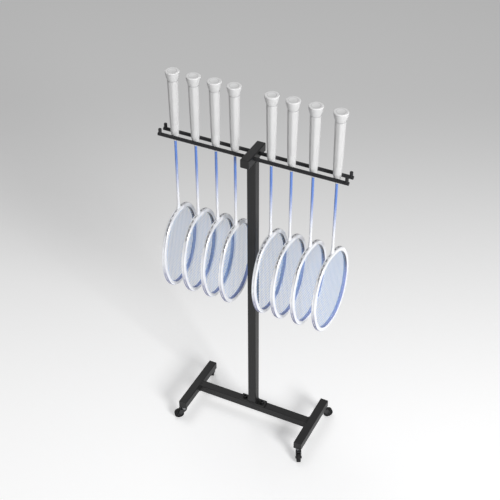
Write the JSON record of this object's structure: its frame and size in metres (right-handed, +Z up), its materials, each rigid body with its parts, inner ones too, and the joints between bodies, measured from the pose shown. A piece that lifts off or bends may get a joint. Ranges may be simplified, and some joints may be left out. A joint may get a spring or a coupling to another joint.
{
  "type": "racket rack",
  "caption": "Free-standing black steel rack on casters, with badminton rackets hanging handle up between its round rails.",
  "frame": {"origin": "on the floor, under the middle of the post", "axes": "+Z up, X along the two rails, -Y towards the front"},
  "size_m": [0.543, 0.2432, 1.1431],
  "materials": {
    "stand": "satin charcoal powder coat",
    "rail": "satin black powder coat",
    "bolt": "black oxide",
    "zinc": "zinc plated",
    "fork": "satin black",
    "wheel": "matte black",
    "frame": "gloss white running to blue on the shaft",
    "strings": "pale blue nylon",
    "grip": "soft white grip tape",
    "cone": "white"
  },
  "bodies": {
    "stand": {"post": "stand", "post_flange": "stand", "post_bolt_left": "bolt", "post_bolt_right": "bolt", "crosshead": "stand", "front_rail": "rail", "rear_rail": "rail", "crossbeam": "stand", "foot_left": "stand", "foot_right": "stand", "caster_stem_front_left": "zinc", "caster_stem_front_right": "zinc", "caster_stem_rear_left": "zinc", "caster_stem_rear_right": "zinc"},
    "caster_front_left": {"caster_fork_front_left": "fork", "caster_axle_front_left": "zinc"},
    "caster_front_right": {"caster_fork_front_right": "fork", "caster_axle_front_right": "zinc"},
    "caster_rear_left": {"caster_fork_rear_left": "fork", "caster_axle_rear_left": "zinc"},
    "caster_rear_right": {"caster_fork_rear_right": "fork", "caster_axle_rear_right": "zinc"},
    "wheel_front_left": {"caster_wheel_front_left": "wheel"},
    "wheel_front_right": {"caster_wheel_front_right": "wheel"},
    "wheel_rear_left": {"caster_wheel_rear_left": "wheel"},
    "wheel_rear_right": {"caster_wheel_rear_right": "wheel"},
    "racket_1": {"racket_1_frame": "frame", "racket_1_strings": "strings", "racket_1_grip": "grip", "racket_1_cone": "cone"},
    "racket_2": {"racket_2_frame": "frame", "racket_2_strings": "strings", "racket_2_grip": "grip", "racket_2_cone": "cone"},
    "racket_3": {"racket_3_frame": "frame", "racket_3_strings": "strings", "racket_3_grip": "grip", "racket_3_cone": "cone"},
    "racket_4": {"racket_4_frame": "frame", "racket_4_strings": "strings", "racket_4_grip": "grip", "racket_4_cone": "cone"},
    "racket_5": {"racket_5_frame": "frame", "racket_5_strings": "strings", "racket_5_grip": "grip", "racket_5_cone": "cone"},
    "racket_6": {"racket_6_frame": "frame", "racket_6_strings": "strings", "racket_6_grip": "grip", "racket_6_cone": "cone"},
    "racket_7": {"racket_7_frame": "frame", "racket_7_strings": "strings", "racket_7_grip": "grip", "racket_7_cone": "cone"},
    "racket_8": {"racket_8_frame": "frame", "racket_8_strings": "strings", "racket_8_grip": "grip", "racket_8_cone": "cone"}
  },
  "joints": [
    {"name": "swivel_front_left", "type": "hinge", "parent": "stand", "child": "caster_front_left", "pos_m": [-0.192, -0.0915, 0], "axis": [0, 0, 1], "continuous": true},
    {"name": "swivel_front_right", "type": "hinge", "parent": "stand", "child": "caster_front_right", "pos_m": [0.192, -0.0915, 0], "axis": [0, 0, 1], "continuous": true},
    {"name": "swivel_rear_left", "type": "hinge", "parent": "stand", "child": "caster_rear_left", "pos_m": [-0.192, 0.0915, 0], "axis": [0, 0, 1], "continuous": true},
    {"name": "swivel_rear_right", "type": "hinge", "parent": "stand", "child": "caster_rear_right", "pos_m": [0.192, 0.0915, 0], "axis": [0, 0, 1], "continuous": true},
    {"name": "roll_front_left", "type": "hinge", "parent": "caster_front_left", "child": "wheel_front_left", "pos_m": [-0.205, -0.10166, 0.01471], "axis": [0.6157, -0.788, 0], "continuous": true},
    {"name": "roll_front_right", "type": "hinge", "parent": "caster_front_right", "child": "wheel_front_right", "pos_m": [0.19949, -0.1062, 0.01471], "axis": [0.891, 0.454, 0], "continuous": true},
    {"name": "roll_rear_left", "type": "hinge", "parent": "caster_rear_left", "child": "wheel_rear_left", "pos_m": [-0.19949, 0.1062, 0.01471], "axis": [-0.891, -0.454, 0], "continuous": true},
    {"name": "roll_rear_right", "type": "hinge", "parent": "caster_rear_right", "child": "wheel_rear_right", "pos_m": [0.20426, 0.10254, 0.01471], "axis": [-0.6691, 0.7431, 0], "continuous": true},
    {"name": "lift_1", "type": "slide", "parent": "stand", "child": "racket_1", "axis": [0, 0, 1], "range_m": [0, 0.18]},
    {"name": "lift_2", "type": "slide", "parent": "stand", "child": "racket_2", "axis": [0, 0, 1], "range_m": [0, 0.18]},
    {"name": "lift_3", "type": "slide", "parent": "stand", "child": "racket_3", "axis": [0, 0, 1], "range_m": [0, 0.18]},
    {"name": "lift_4", "type": "slide", "parent": "stand", "child": "racket_4", "axis": [0, 0, 1], "range_m": [0, 0.18]},
    {"name": "lift_5", "type": "slide", "parent": "stand", "child": "racket_5", "axis": [0, 0, 1], "range_m": [0, 0.18]},
    {"name": "lift_6", "type": "slide", "parent": "stand", "child": "racket_6", "axis": [0, 0, 1], "range_m": [0, 0.18]},
    {"name": "lift_7", "type": "slide", "parent": "stand", "child": "racket_7", "axis": [0, 0, 1], "range_m": [0, 0.18]},
    {"name": "lift_8", "type": "slide", "parent": "stand", "child": "racket_8", "axis": [0, 0, 1], "range_m": [0, 0.18]}
  ]
}
